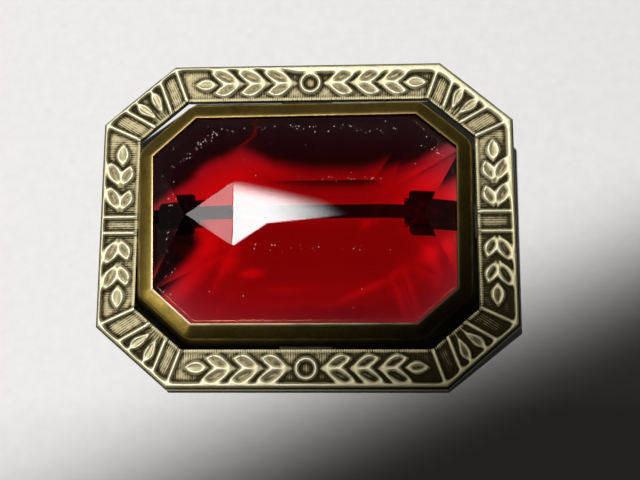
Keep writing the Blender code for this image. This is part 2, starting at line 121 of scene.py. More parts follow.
def carry(mesh, name, values):
    """Stores one value for each of the mesh's points."""
    attribute = mesh.attributes.new(name, "FLOAT", "POINT")
    attribute.data.foreach_set("value", np.asarray(values, np.float32))


def octagon(outline):
    """The eight corners of a cut-corner octagon, anticlockwise."""
    half_x, half_y, end_half, side_half = outline
    quarter = [Vector((half_x, end_half)), Vector((side_half, half_y))]
    corners = quarter + [Vector((-p.x, p.y)) for p in reversed(quarter)]
    return corners + [Vector((-p.x, -p.y)) for p in corners]


def grown(corners, growth):
    """Eight corners moved outward by a mitred offset."""
    moved = []
    for index, corner in enumerate(corners):
        before = (corner - corners[index - 1]).normalized()
        after = (corners[(index + 1) % 8] - corner).normalized()
        normal_before = Vector((before.y, -before.x))
        normal_after = Vector((after.y, -after.x))
        middle = (normal_before + normal_after) / (1.0 + normal_before.dot(normal_after))
        moved.append(corner + middle * growth)
    return moved


def rounded(corners, radius, steps):
    """A convex outline with each corner turned into an arc of the given radius."""
    points = []
    for index, corner in enumerate(corners):
        before = (corners[index - 1] - corner).normalized()
        after = (corners[(index + 1) % len(corners)] - corner).normalized()
        half_angle = before.angle(after) / 2.0
        centre = corner + (before + after).normalized() * radius / math.sin(half_angle)
        start = corner + before * radius / math.tan(half_angle)
        sweep = math.pi - 2.0 * half_angle
        for step in range(steps + 1):
            turn = Matrix.Rotation(sweep * step / steps, 2)
            points.append(centre + turn @ (start - centre))
    return points


def swept_ring(builder, outline_at, section):
    """Sweeps a closed section of (growth, height) points round an outline."""
    loops = []
    for growth, height in section:
        loops.append([builder.verts.new((*point, height)) for point in outline_at(growth)])
    for index, loop in enumerate(loops):
        inner = loops[index - 1]
        count = len(loop)
        for step in range(count):
            following = (step + 1) % count
            builder.faces.new((inner[step], inner[following], loop[following], loop[step]))


def stacked_solid(builder, loops):
    """Closes a stack of equal loops of 3-D points into one solid."""
    rows = [[builder.verts.new(point) for point in loop] for loop in loops]
    for lower, upper in zip(rows, rows[1:]):
        count = len(lower)
        for step in range(count):
            following = (step + 1) % count
            builder.faces.new((lower[step], lower[following], upper[following], upper[step]))
    builder.faces.new(rows[0])
    builder.faces.new(rows[-1])


# ---- materials

def node_material(name):
    """A new node material: returns it with its tree, nodes and Principled shader."""
    made = bpy.data.materials.new(name)
    made.use_nodes = True
    tree = made.node_tree
    return made, tree, tree.nodes["Principled BSDF"]


def ramp(tree, source, stops):
    """A colour ramp fed by a socket."""
    node = tree.nodes.new("ShaderNodeValToRGB")
    elements = node.color_ramp.elements
    while len(elements) < len(stops):
        elements.new(0.5)
    for element, (position, colour) in zip(elements, stops):
        element.position = position
        element.color = (*colour, 1.0)
    tree.links.new(source, node.inputs["Fac"])
    return node.outputs["Color"]


def object_point(tree, scale=(1.0, 1.0, 1.0)):
    """Object coordinates, scaled."""
    place = tree.nodes.new("ShaderNodeTexCoord")
    mapping = tree.nodes.new("ShaderNodeMapping")
    mapping.inputs["Scale"].default_value = scale
    tree.links.new(place.outputs["Object"], mapping.inputs["Vector"])
    return mapping.outputs["Vector"]


def noise(tree, vector, scale, detail=4.0, roughness=0.55):
    """A noise texture's value."""
    node = tree.nodes.new("ShaderNodeTexNoise")
    node.inputs["Scale"].default_value = scale
    node.inputs["Detail"].default_value = detail
    node.inputs["Roughness"].default_value = roughness
    tree.links.new(vector, node.inputs["Vector"])
    return node.outputs["Fac"]


def maths(tree, operation, first, second):
    """A maths node on two sockets or numbers."""
    node = tree.nodes.new("ShaderNodeMath")
    node.operation = operation
    for slot, value in enumerate((first, second)):
        if isinstance(value, (int, float)):
            node.inputs[slot].default_value = value
        else:
            tree.links.new(value, node.inputs[slot])
    return node.outputs["Value"]


def mix_colour(tree, factor, first, second, blend="MIX"):
    """Mixes two colours, each a socket or a tuple."""
    node = tree.nodes.new("ShaderNodeMix")
    node.data_type = "RGBA"
    node.blend_type = blend
    for name, value in (("Factor", factor), ("A", first), ("B", second)):
        socket = next(s for s in node.inputs if s.name == name and s.type in ("RGBA", "VALUE")
                      and (s.type == "RGBA") == (name != "Factor"))
        if isinstance(value, (int, float)):
            socket.default_value = value
        elif isinstance(value, tuple):
            socket.default_value = (*value, 1.0)
        else:
            tree.links.new(value, socket)
    return next(s for s in node.outputs if s.type == "RGBA")


def vertex_value(tree, name):
    """The value that the mesh carries under this name."""
    node = tree.nodes.new("ShaderNodeAttribute")
    node.attribute_name = name
    return node.outputs["Fac"]


def grey(level):
    """A colour with the same level in each channel."""
    return (level, level, level)


def bump(tree, shader, height, strength, distance):
    """Feeds a height into the shader's normal."""
    node = tree.nodes.new("ShaderNodeBump")
    node.inputs["Strength"].default_value = strength
    node.inputs["Distance"].default_value = distance
    tree.links.new(height, node.inputs["Height"])
    tree.links.new(node.outputs["Normal"], shader.inputs["Normal"])


def antique_silver():
    """Stamped silver plate: bright where it stands up and rubs, dark and dull in the recesses, with painted
    shade darker towards the lower right.
    """
    made, tree, shader = node_material("antique_silver")
    height = vertex_value(tree, "relief")
    cavity_and_shade = vertex_value(tree, "cavity_and_shade")
    point = object_point(tree)
    # The noise is random grime. The cavity values carry the hollows and also a painted shade, darker towards
    # the lower right.
    grime_and_shade = noise(tree, point, 2600.0, 4.0)
    patches = noise(tree, point, 160.0, 3.0)
    level = maths(tree, "ADD", maths(tree, "MULTIPLY", height, 0.4), maths(tree, "MULTIPLY", cavity_and_shade, 0.75))
    level = maths(tree, "ADD", level, maths(tree, "MULTIPLY", maths(tree, "SUBTRACT", grime_and_shade, 0.5), 0.4))
    tone = ramp(tree, level, [
        (0.04, (0.03, 0.024, 0.01)), (0.18, (0.16, 0.135, 0.075)), (0.34, (0.42, 0.37, 0.23)),
        (0.52, (0.52, 0.48, 0.29)), (0.78, (0.56, 0.53, 0.34)), (1.0, (0.64, 0.62, 0.47))])
    tone = mix_colour(tree, maths(tree, "MULTIPLY", patches, 0.3), tone, (0.62, 0.56, 0.38), "MULTIPLY")
    tree.links.new(tone, shader.inputs["Base Color"])
    shader.inputs["Metallic"].default_value = 1.0
    rough = ramp(tree, level, [(0.2, grey(0.7)), (0.75, grey(0.6))])
    tree.links.new(rough, shader.inputs["Roughness"])
    bump(tree, shader, noise(tree, point, 2200.0, 4.0), 0.2, 0.00003)
    return made


def aged_brass():
    """Olive-bronze brass, satin, with darker tarnish in clouds and fine scratches, a lip lighter with wear and
    a painted highlight, and painted shade at the foot and towards the lower right.
    """
    made, tree, shader = node_material("aged_brass")
    dark, olive, bright = (0.15, 0.085, 0.018), (0.37, 0.26, 0.055), (0.5365, 0.377, 0.07975)
    point = object_point(tree)
    clouds = noise(tree, point, 260.0, 5.0, 0.6)
    specks = noise(tree, point, 2600.0, 3.0)
    tone = ramp(tree, clouds, [(0.3, dark), (0.5, olive), (0.72, bright)])
    tone = mix_colour(tree, 0.25, tone, ramp(tree, specks, [(0.35, (0.35, 0.3, 0.2)), (0.6, grey(1.0))]),
                      "MULTIPLY")
    # The lip's top is a little lighter with wear all round, and a painted highlight brightens it towards the
    # lower left.
    rubbed_and_highlight = vertex_value(tree, "rubbed_and_highlight")
    tone = mix_colour(tree, rubbed_and_highlight, tone, (0.95, 0.8, 0.55))
    # Painted shade: the foot near black, the shoulder darker towards the lower right; both less metallic.
    painted_shade = vertex_value(tree, "painted_shade")
    shade_mix = ramp(tree, painted_shade, [(0.0, grey(0.0)), (0.45, grey(1.0))])
    tone = mix_colour(tree, shade_mix, tone, (0.01, 0.008, 0.005))
    tree.links.new(tone, shader.inputs["Base Color"])
    bare = ramp(tree, painted_shade, [(0.45, grey(1.0)), (0.75, grey(0.0))])
    tree.links.new(bare, shader.inputs["Metallic"])
    shader.inputs["Specular IOR Level"].default_value = 0.08
    rough = ramp(tree, clouds, [(0.3, grey(0.42)), (0.7, grey(0.27))])
    tree.links.new(rough, shader.inputs["Roughness"])
    scratches = noise(tree, object_point(tree, (1.0, 14.0, 1.0)), 420.0, 2.0)
    height = maths(tree, "ADD", maths(tree, "MULTIPLY", specks, 0.5), maths(tree, "MULTIPLY", scratches, 0.5))
    bump(tree, shader, height, 0.25, 0.00005)
    return made


def near_black_brass():
    """Brass coloured almost black, dull, a little browner in clouds."""
    made, tree, shader = node_material("near_black_fittings")
    point = object_point(tree)
    clouds = noise(tree, point, 420.0, 5.0, 0.6)
    tone = ramp(tree, clouds, [
        (0.35, (0.01, 0.008, 0.006)), (0.58, (0.022, 0.018, 0.012)), (0.75, (0.06, 0.045, 0.025))])
    tree.links.new(tone, shader.inputs["Base Color"])
    shader.inputs["Specular IOR Level"].default_value = 0.12
    rough = ramp(tree, clouds, [(0.3, grey(0.8)), (0.75, grey(0.55))])
    tree.links.new(rough, shader.inputs["Roughness"])
    bump(tree, shader, noise(tree, point, 2400.0, 3.0), 0.3, 0.00005)
    return made


def pin_steel():
    """Drawn wire: grey, a little tarnished, with fine lines along it."""
    made, tree, shader = node_material("pin_steel")
    lines = noise(tree, object_point(tree, (0.05, 1.0, 1.0)), 3000.0, 3.0)
    spots = noise(tree, object_point(tree), 500.0, 4.0)
    tone = ramp(tree, spots, [(0.35, (0.2, 0.17, 0.12)), (0.55, (0.56, 0.54, 0.48))])
    tree.links.new(tone, shader.inputs["Base Color"])
    shader.inputs["Metallic"].default_value = 1.0
    rough = ramp(tree, lines, [(0.3, grey(0.3)), (0.7, grey(0.45))])
    tree.links.new(rough, shader.inputs["Roughness"])
    bump(tree, shader, lines, 0.2, 0.00003)
    return made


def solder():
    """Dull solder, dark brown."""
    made, tree, shader = node_material("solder")
    lumps = noise(tree, object_point(tree), 1200.0, 4.0)
    tone = ramp(tree, lumps, [(0.35, (0.01, 0.008, 0.006)), (0.65, (0.035, 0.028, 0.018))])
    tree.links.new(tone, shader.inputs["Base Color"])
    shader.inputs["Specular IOR Level"].default_value = 0.2
    shader.inputs["Roughness"].default_value = 0.7
    bump(tree, shader, lumps, 0.5, 0.0001)
    return made


def ruby_glass():
    """Clear red glass. Lamp light passes it, stronger where the cut gathers it, to what lies behind."""
    made, tree, shader = node_material("ruby_glass")
    shader.inputs["Base Color"].default_value = (1.0, 0.8, 0.82, 1.0)
    shader.inputs["Metallic"].default_value = 0.0
    shader.inputs["IOR"].default_value = 1.52
    shader.inputs["Transmission Weight"].default_value = 1.0
    point = object_point(tree)
    wear = ramp(tree, noise(tree, point, 1500.0, 3.0), [(0.64, grey(0.0)), (0.72, grey(0.05))])
    tree.links.new(wear, shader.inputs["Roughness"])
    output = tree.nodes["Material Output"]
    gathered = vertex_value(tree, "gathered")
    lamps = tree.nodes.new("ShaderNodeLightPath")
    clear = tree.nodes.new("ShaderNodeBsdfTransparent")
    tint = mix_colour(tree, gathered, grey(0.0), (1.0, 0.7, 0.72))
    tree.links.new(tint, clear.inputs["Color"])
    mixed = tree.nodes.new("ShaderNodeMixShader")
    tree.links.new(lamps.outputs["Is Shadow Ray"], mixed.inputs["Fac"])
    tree.links.new(shader.outputs["BSDF"], mixed.inputs[1])
    tree.links.new(clear.outputs["BSDF"], mixed.inputs[2])
    tree.links.new(mixed.outputs["Shader"], output.inputs["Surface"])
    absorption = tree.nodes.new("ShaderNodeVolumeAbsorption")
    absorption.inputs["Color"].default_value = (0.94, 0.05, 0.22, 1.0)
    absorption.inputs["Density"].default_value = 520.0
    tree.links.new(absorption.outputs["Volume"], output.inputs["Volume"])
    return made


def paper():
    """The pale surface that the brooch lies on."""
    made, tree, shader = node_material("paper")
    fibre = noise(tree, object_point(tree), 700.0, 4.0)
    tone = ramp(tree, fibre, [(0.3, (0.82, 0.815, 0.81)), (0.7, (0.86, 0.855, 0.85))])
    tree.links.new(tone, shader.inputs["Base Color"])
    shader.inputs["Roughness"].default_value = 0.75
    bump(tree, shader, fibre, 0.06, 0.0001)
    return made


# ---- the stamped frame

# All in mm. "Along" runs along a side from its middle, "across" from the frame's inner edge outward.
ALONG_STEP = 0.085          # between columns of the relief
PEAK = 0.35                 # the highest relief above the panel
RIM_HEIGHT = 0.33
RIM_CREST = 0.3             # from the rim's inner foot to its crest
LEAF_HEIGHT = 0.31
RIB_HEIGHT, RIB_HALF = 0.27, 0.19
STEM_HEIGHT, STEM_HALF = 0.12, 0.09
RING_HEIGHT, RING_HALF, RING_RADIUS = 0.32, 0.33, 1.1
HATCH_PITCH = 0.27
BAND_LOW = INNER_RIM_WIDTH / MM
BAND_HIGH = (FRAME_WIDTH - RIM_WIDTH) / MM
BAND_MIDDLE = 2.12
CORNER_RIB = (1.25, 2.6)    # where the corner's ribs meet the band's inner and outer edges, along
# The leaves of a pair, inner and outer: side of the stem, rise from it, extra reach along, breadth
PAIR = ((-1.0, 1.15, 0.3, 0.92), (1.0, 1.35, 0.7, 1.05))
# A spray: where its pairs start, their length, its last leaf (start, end, width), the leaves' width and bend
LONG_SPRAY = ((1.7, 4.85, 8.0), 3.3, (10.9, 13.9, 1.6), 1.95, 0.13)
END_SPRAY = ((1.5, 4.45), 2.5, (6.9, 9.9, 1.7), 1.85, 0.06)


def smooth_step(low, high, value):
    """0 below low, 1 above high, smooth between; low may be the larger."""
    share = np.clip((value - low) / (high - low), 0.0, 1.0)
    return share * share * (3.0 - 2.0 * share)


def blend_up(first, second, reach):
    """The higher of two heights, with a fillet where they meet."""
    share = np.clip(0.5 + 0.5 * (first - second) / reach, 0.0, 1.0)
    return second * (1.0 - share) + first * share + reach * share * (1.0 - share)


def rims(across, web):
    """The rounded outer rim, widened inward by the web, and the narrow milled inner rim."""
    out = across - BAND_HIGH + web
    inside = RIM_HEIGHT - 0.4 * (np.clip(RIM_CREST - out, 0.0, None) / RIM_CREST) ** 2
    beyond = np.clip(across - BAND_HIGH - RIM_CREST, 0.0, None) / (RIM_WIDTH / MM - RIM_CREST)
    outer = np.minimum(inside, RIM_HEIGHT) - 0.5 * beyond ** 1.5
    inner = 0.15 - 0.2 * ((across - BAND_LOW * 0.45) / (BAND_LOW * 0.55)) ** 2
    return outer, inner


def leaf_height(along, across, base, tip, width, bend=0.0, groove=0.7, fullness=1.1):
    """One leaf with a raised edge and a sunken middle, its line bent like an S."""
    axis = np.array(tip) - np.array(base)
    length = float(np.hypot(*axis))
    axis = axis / length
    share = ((along - base[0]) * axis[0] + (across - base[1]) * axis[1]) / length
    aside = (across - base[1]) * axis[0] - (along - base[0]) * axis[1]
    inside = (share > 0.0) & (share < 1.0)
    share = np.clip(share, 0.0, 1.0)
    aside = aside - bend * np.sin(2.0 * np.pi * share)
    half = width / 2.0 * np.sin(np.pi * share ** fullness) ** 1.2
    reach = np.abs(aside) / np.maximum(half, 1e-3)
    edge = smooth_step(1.06, 0.8, reach)
    middle = groove * smooth_step(0.62, 0.1, reach) * smooth_step(0.15, 0.35, share)
    middle *= smooth_step(0.95, 0.72, share)
    vein = 0.3 * smooth_step(0.2, 0.03, reach) * smooth_step(0.1, 0.3, share) * smooth_step(0.9, 0.7, share)
    rise = LEAF_HEIGHT * (0.55 + 0.45 * smooth_step(0.0, 0.4, share))
    return np.where(inside, rise * edge * (1.0 - middle + vein), -1.0)


def rib_height(distance):
    """A narrow raised rib, by the distance from its middle."""
    return RIB_HEIGHT * smooth_step(RIB_HALF + 0.13, RIB_HALF - 0.07, np.abs(distance))


def stem_height(along, across, start, finish):
    """A thin stem along the middle of a spray."""
    near = (np.abs(along) > start) & (np.abs(along) < finish)
    stem = STEM_HEIGHT * smooth_step(STEM_HALF + 0.08, STEM_HALF - 0.05, np.abs(across - BAND_MIDDLE))
    return np.where(near, stem, -1.0)


def line_distance(along, across, inner_along, outer_along):
    """Distance from a line across the panel, given where it meets the band's two edges."""
    slope = (outer_along - inner_along) / BAND_HIGH
    return (along - inner_along - slope * across) / math.hypot(1.0, slope)


def spray(along, across, side, bases, length, last, width, bend):
    """Pairs of leaves pointing away from the panel's middle, then one leaf on the stem."""
    height = np.full_like(along, -1.0)
    web = np.zeros_like(along)
    for start in bases:
        for tilt, rise, reach, broad in PAIR:
            base = (side * start, BAND_MIDDLE + tilt * 0.15)
            tip = (side * (start + length + reach), BAND_MIDDLE + tilt * rise)
            height = np.maximum(height, leaf_height(along, across, base, tip, width * broad,
                                                    bend=-side * tilt * bend, groove=0.8))
        web = np.maximum(web, 0.3 * np.exp(-((along - side * (start + length * 1.02)) / 0.55) ** 2))
    first, final, broad = last
    base, tip = (side * first, BAND_MIDDLE - 0.1), (side * final, BAND_MIDDLE - 0.12)
    height = np.maximum(height, leaf_height(along, across, base, tip, broad, fullness=1.0))
    return height, web


def long_relief(along, across, pitch):
    """Ring in the middle, and each side three pairs of laurel leaves and a last leaf."""
    away = np.abs(np.hypot(along, across - BAND_MIDDLE) - RING_RADIUS)
    height = np.where(away < RING_HALF, RING_HEIGHT * smooth_step(RING_HALF, 0.12, away), -1.0)
    height = np.maximum(height, stem_height(along, across, 1.5, 11.0))
    web = np.zeros_like(along)
    for side in (-1.0, 1.0):
        leaves, wide = spray(along, across, side, *LONG_SPRAY)
        height, web = np.maximum(height, leaves), np.maximum(web, wide)
    return height, np.zeros_like(along), web


def end_relief(along, across, pitch):
    """A hatched box between two ribs, and each side two pairs of leaves and a last leaf."""
    height = np.full_like(along, -1.0)
    web = np.zeros_like(along)
    for side in (-1.0, 1.0):
        height = np.maximum(height, rib_height(along - side * pitch))
        leaves, wide = spray(along, across, side, *END_SPRAY)
        height, web = np.maximum(height, leaves), np.maximum(web, wide)
    ground = -0.06 * smooth_step(pitch, pitch - 0.15, np.abs(along))
    return height, ground, web


def corner_relief(along, across, pitch):
    """Two ribs, with a fan of two leaves between them and a hatched box beyond each."""
    height = np.full_like(along, -1.0)
    web = np.zeros_like(along)
    for side in (-1.0, 1.0):
        away = line_distance(along, across, side * CORNER_RIB[0], side * CORNER_RIB[1])
        height = np.maximum(height, rib_height(away))
        height = np.maximum(height, leaf_height(
            along, across, (side * 0.42, 0.1), (side * 1.12, BAND_HIGH + 0.12), 1.3,
            bend=side * 0.06, groove=0.6, fullness=1.7))
        web = np.maximum(web, 0.22 * np.exp(-((along - side * 2.5) / 0.45) ** 2))
        web = np.maximum(web, 0.15 * np.exp(-((along - side * 1.1) / 0.4) ** 2))
    beyond = np.abs(along) - CORNER_RIB[0] - 0.358 * across
    ground = -0.12 * smooth_step(0.1, 0.3, beyond)
    return height, ground, web


# Each gives the height, the ground and the rim's web. Only the ends have ribs with a pitch.
RELIEFS = {"long": long_relief, "end": end_relief, "corner": corner_relief}
# The dies were set a little off the middle: (shift along the side, half spacing of the end ribs), mm
SETTINGS = ((0.1, 1.0), (-0.45, 1.0), (0.0, 1.0), (0.24, 0.95),
            (0.2, 1.0), (0.05, 1.0), (-0.1, 1.0), (-0.1, 1.15))
# The rim is broader where the trimming was less close: (extra at the side's start, extra at its end), mm
RIM_EXTRA = ((0.35, 0.5), (0.5, 0.0), (0.0, 0.0), (0.0, 0.0),
             (0.05, 0.15), (0.18, 0.18), (0.15, 0.1), (0.1, 0.3))


def box_blur(values, rows, columns, passes=2):
    """A soft blur of a grid, by repeated running means."""
    for _ in range(passes):
        for axis, reach in ((0, rows), (1, columns)):
            padded = np.pad(values, [(reach, reach) if a == axis else (0, 0) for a in (0, 1)], mode="edge")
            total = np.cumsum(padded, axis=axis)
            zero = np.zeros_like(np.take(total, [0], axis=axis))
            total = np.concatenate([zero, total], axis=axis)
            span = 2 * reach + 1
            size = values.shape[axis]
            high = np.take(total, np.arange(span, span + size), axis=axis)
            low = np.take(total, np.arange(0, size), axis=axis)
            values = (high - low) / span
    return values


def side_relief(kind, along, across, mitre, setting, extra):
    """Height of one side's face above the panel, in mm."""
    shift, pitch = setting
    leaves, ground, web = RELIEFS[kind](along - shift, across, pitch)
    web = np.maximum(web, 0.25 * np.exp(-(mitre / 0.5) ** 2))
    web = web + extra[0] + (extra[1] - extra[0]) * smooth_step(0.5, 4.0, along)
    outer, inner = rims(across, web)
    leaves = np.where(across < BAND_HIGH + 0.2, np.maximum(leaves, rib_height(mitre)), -1.0)
    lean = 0.36 * across / BAND_HIGH * np.clip((along - shift) / 1.2, -1.0, 1.0) if kind == "corner" else 0.0
    height = np.maximum(ground, inner)
    height = blend_up(leaves, height, 0.03)
    height = box_blur(blend_up(outer, height, 0.11), 1, 1, passes=1)
    depth = np.where(ground < -0.05, 0.03, 0.024) * smooth_step(0.06, 0.0, height)
    depth *= 0.75 + 0.5 * np.sin(1.7 * along + 2.9 * across) * np.sin(3.3 * across - 2.1 * along)
    depth = np.maximum(depth, 0.035 * smooth_step(BAND_LOW + 0.1, BAND_LOW - 0.05, across))
    return height + depth * np.sin(2.0 * np.pi * (along - lean * 3.0) / HATCH_PITCH)


KINDS = ("corner", "long", "corner", "end") * 2      # the frame's sides, anticlockwise
WRAP = 40                                            # columns repeated at the ring's ends for the blur


def side_face(index, inner, outer, across):
    """One side's face as rows of x, y in metres and height above the panel in mm."""
    following = (index + 1) % 8
    start, finish = inner[index], inner[following]
    middle = (start + finish) / 2.0
    direction = (finish - start).normalized()
    outward = Vector((direction.y, -direction.x))
    near = (start - middle).dot(direction) / MM
    far = (finish - middle).dot(direction) / MM
    near_slope = (outer[index] - start).dot(direction) / FRAME_WIDTH
    far_slope = (outer[following] - finish).dot(direction) / FRAME_WIDTH
    columns = int(round((outer[following] - outer[index]).length / MM / ALONG_STEP))
    share = np.linspace(0.0, 1.0, columns + 1)[None, :]
    rows = across[:, None]
    first, last = near + near_slope * rows, far + far_slope * rows
    along = first + (last - first) * share
    rows = np.broadcast_to(rows, along.shape)
    mitre = np.minimum(np.abs(along - first) / math.hypot(1.0, near_slope),
                       np.abs(along - last) / math.hypot(1.0, far_slope))
    height = side_relief(KINDS[index], along, rows, mitre, SETTINGS[index], RIM_EXTRA[index])
    x = middle.x + (direction.x * along + outward.x * rows) * MM
    y = middle.y + (direction.y * along + outward.y * rows) * MM
    return x, y, height


def frame_face(across):
    """The whole face: x, y and height of a ring of columns, from the inner edge outward."""
    outer = octagon(FRAME_OUTLINE)
    inner = grown(outer, -FRAME_WIDTH)
    sides = [side_face(index, inner, outer, across) for index in range(8)]
    for index in range(8):
        here, there = sides[index][2], sides[(index + 1) % 8][2]
        joined = (here[:, -1] + there[:, 0]) / 2.0
        here[:, -1] = joined
        there[:, 0] = joined
    return [np.concatenate([side[part][:, :-1] for side in sides], axis=1) for part in range(3)]


def silver_wear(across, x, y, height):
    """How high each place of the face stands, how open it lies to rubbing and dirt, and a painted shade darker
    towards the lower right.
    """
    wrapped = np.concatenate([height[:, -WRAP:], height, height[:, :WRAP]], axis=1)
    # The hollows alone; the painted shade is taken off below.
    cavity_and_shade = (wrapped - box_blur(wrapped, 3, 5))[:, WRAP:-WRAP]
    beyond = smooth_step(BAND_HIGH - 0.1, BAND_HIGH + 0.3, across)[:, None]
    relief = np.clip(height / PEAK * (1.0 - 0.5 * beyond), -0.5, 1.0)
    grime_and_shade = 0.5 * smooth_step(8.0, 36.0, (0.8 * x - y) / MM)    # painted shade, darker towards the lower right
    return relief, np.clip(0.5 + cavity_and_shade / 0.16, 0.0, 1.0) - grime_and_shade


def build_leaf_frame(material):
    """The whole frame as one closed shell: relief on the face, skirt, hollow back and inner wall."""
    across = np.concatenate([
        np.linspace(0.0, BAND_LOW, 4)[:-1],
        np.linspace(BAND_LOW, BAND_HIGH, 31)[:-1],
        np.linspace(BAND_HIGH, FRAME_WIDTH / MM, 10)])
    x, y, height = frame_face(across)
    relief, cavity_and_shade = silver_wear(across, x, y, height)

    rows, columns = x.shape
    face = np.stack([x, y, PANEL_Z + height * MM], axis=-1).reshape(-1, 3)
    # Shell rows: skirt foot, inside of the skirt, underside of the panel, inside and foot of the inner wall
    back = [(0.12 * MM, PANEL_Z - 0.36 * MM), (SKIRT_FLARE, frame_low.z),
            (-SHEET * 0.9, frame_low.z), (-SHEET, PANEL_Z - SHEET),
            (-FRAME_WIDTH + SHEET, PANEL_Z - SHEET), (-FRAME_WIDTH + SHEET * 0.9, INNER_WALL_Z),
            (-FRAME_WIDTH, INNER_WALL_Z)]
    inner_edge, outer_edge = np.stack([x[0], y[0]], -1), np.stack([x[-1], y[-1]], -1)
    shell = []
    for growth, level in back:
        ring = inner_edge + (outer_edge - inner_edge) * (1.0 + growth / FRAME_WIDTH)
        shell.append(np.concatenate([ring, np.full((columns, 1), level)], axis=1))
    order = [rows - 1] + [rows + step for step in range(len(back))] + [0]
    pairs = [(row, row + 1) for row in range(rows - 1)] + list(zip(order, order[1:]))
    step = np.arange(columns)
    following = (step + 1) % columns
    quads = [np.stack([a * columns + step, a * columns + following,
                       b * columns + following, b * columns + step], axis=1) for a, b in pairs]
    mesh = bpy.data.meshes.new("leaf_frame_stamped")
    mesh.from_pydata(np.concatenate([face] + shell).tolist(), [], np.concatenate(quads).tolist())
    # The second values hold the hollows and the painted shade towards the lower right.
    for name, grid, plain in (("relief", relief, 0.35), ("cavity_and_shade", cavity_and_shade, 0.42)):
        carry(mesh, name, np.concatenate([grid.reshape(-1), np.full(len(back) * columns, plain)]))
    builder = bmesh.new()
    builder.from_mesh(mesh)
    bmesh.ops.recalc_face_normals(builder, faces=builder.faces)
    builder.to_mesh(mesh)
    builder.free()
    made = add_object("leaf_frame_stamped", mesh, material, smooth_angle=55)
    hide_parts("leaf_frame")
    return made


# ---- collet, stone and fittings

def bezel_section():
    """The collet's section as (growth from the window, height), round from the lip's foot."""
    top = bezel_high.z
    lip = 0.13 * MM
    foot = BEZEL_WIDTH + BEZEL_FLARE
    wall = BEZEL_WIDTH - BEZEL_WALL
    round_radius = 0.55 * MM
    round_middle = Vector((BEZEL_WIDTH - round_radius, top - 1.06 * MM))
    round_start = math.radians(28.0)
    slope_end = round_middle + round_radius * Vector((math.sin(round_start), math.cos(round_start)))
    section = [(0.0, top - 0.32 * MM), (0.0, top - 0.05 * MM), (0.03 * MM, top), (lip, top - 0.01 * MM)]
    for step in range(1, 9):
        share = step / 8.0
        section.append((lip + (slope_end.x - lip) * share, top + (slope_end.y - top) * share ** 1.2))
    for step in range(1, 9):
        turn = round_start + (math.pi / 2.0 - round_start) * step / 8.0
        section.append(tuple(round_middle + round_radius * Vector((math.sin(turn), math.cos(turn)))))
    section += [(foot, bezel_low.z + 0.8 * MM), (foot - 0.03 * MM, bezel_low.z + 0.72 * MM),
                (BEZEL_WIDTH - 0.05 * MM, bezel_low.z + 0.15 * MM), (wall + 0.05 * MM, bezel_low.z),
                (wall, bezel_low.z + 0.05 * MM), (wall, top - 1.1 * MM), (0.9 * MM, top - 0.8 * MM)]
    return section


def bezel_outline(growth):
    """The collet's outline at this growth from the window; only its foot takes the shifts of the foot."""
    window = [corner + Vector(shift) * MM for corner, shift in zip(octagon(WINDOW_OUTLINE), CORNER_SHIFTS)]
    corners = grown(window, growth)
    out = max(0.0, growth - BEZEL_WIDTH) / BEZEL_FLARE
    for index, shift in FOOT_SHIFTS:
        corners[index] = corners[index] + Vector(shift) * out * MM
    return rounded(corners, 0.12 * MM + 1.05 * growth, 8)


def build_bezel(material):
    """The collet: thin upright lip, sloping shoulder with a rounded edge, and spreading foot."""
    builder = bmesh.new()
    swept_ring(builder, bezel_outline, bezel_section())
    mesh = finished(builder, "bezel_collet")
    rubbed_and_highlight, painted_shade = [], []
    for vert in mesh.vertices:
        x, y, z = vert.co
        # On the lip's top: light wear all round, and a painted highlight growing towards the lower left.
        lower_left = smooth_step(4.0, -14.0, (0.35 * x + y) / MM)
        rubbed_and_highlight.append(0.12 + 0.88 * lower_left if z > bezel_high.z - 0.02 * MM else 0.0)
        # Painted shade: the foot near black where it fills the gaps to the frame, the rest darker towards the
        # lower right.
        lower_right = smooth_step(-4.0, 22.0, (0.6 * x - y) / MM)
        painted_shade.append(1.0 if z < bezel_low.z + 0.9 * MM else 0.36 * lower_right)
    carry(mesh, "rubbed_and_highlight", rubbed_and_highlight)
    carry(mesh, "painted_shade", painted_shade)
    made = add_object("bezel_collet", mesh, material, smooth_angle=35)
    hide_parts("bezel")
    return made


def carry_over(node, material, bevel):
    """Keeps a CAD piece, with softened edges and a finished material."""
    piece = frame["nodes"][node]
    piece.data.materials.clear()
    piece.data.materials.append(material)
    soft = piece.modifiers.new("soft_edges", "BEVEL")
    soft.width = bevel
    soft.segments = 2
    soft.limit_method = "ANGLE"
    soft.angle_limit = math.radians(35)
    return piece


# Where the stone throws the lamp's light on the table, in mm from the middle of the brooch.
# The collet shades the upper side and the left end, down to these lines; the facets gather the rest.
SHADE_ABOVE = ((-19.0, 1.5), (-15.0, 3.0), (-12.5, 4.8), (-11.0, 6.2), (-8.7, 7.5), (-6.4, 6.4), (-4.4, 5.4),
               (0.0, 4.7), (6.0, 4.6), (8.0, 5.2), (11.0, 6.4), (13.0, 8.0), (14.6, 8.8), (19.0, 7.5))
SHADE_LEFT = ((-14.0, -19.0), (-8.0, -16.8), (-6.3, -15.3), (-4.8, -14.0), (-2.8, -12.2), (-0.8, -10.9),
              (1.0, -11.4), (2.0, -12.6), (2.6, -19.0), (14.0, -19.0))
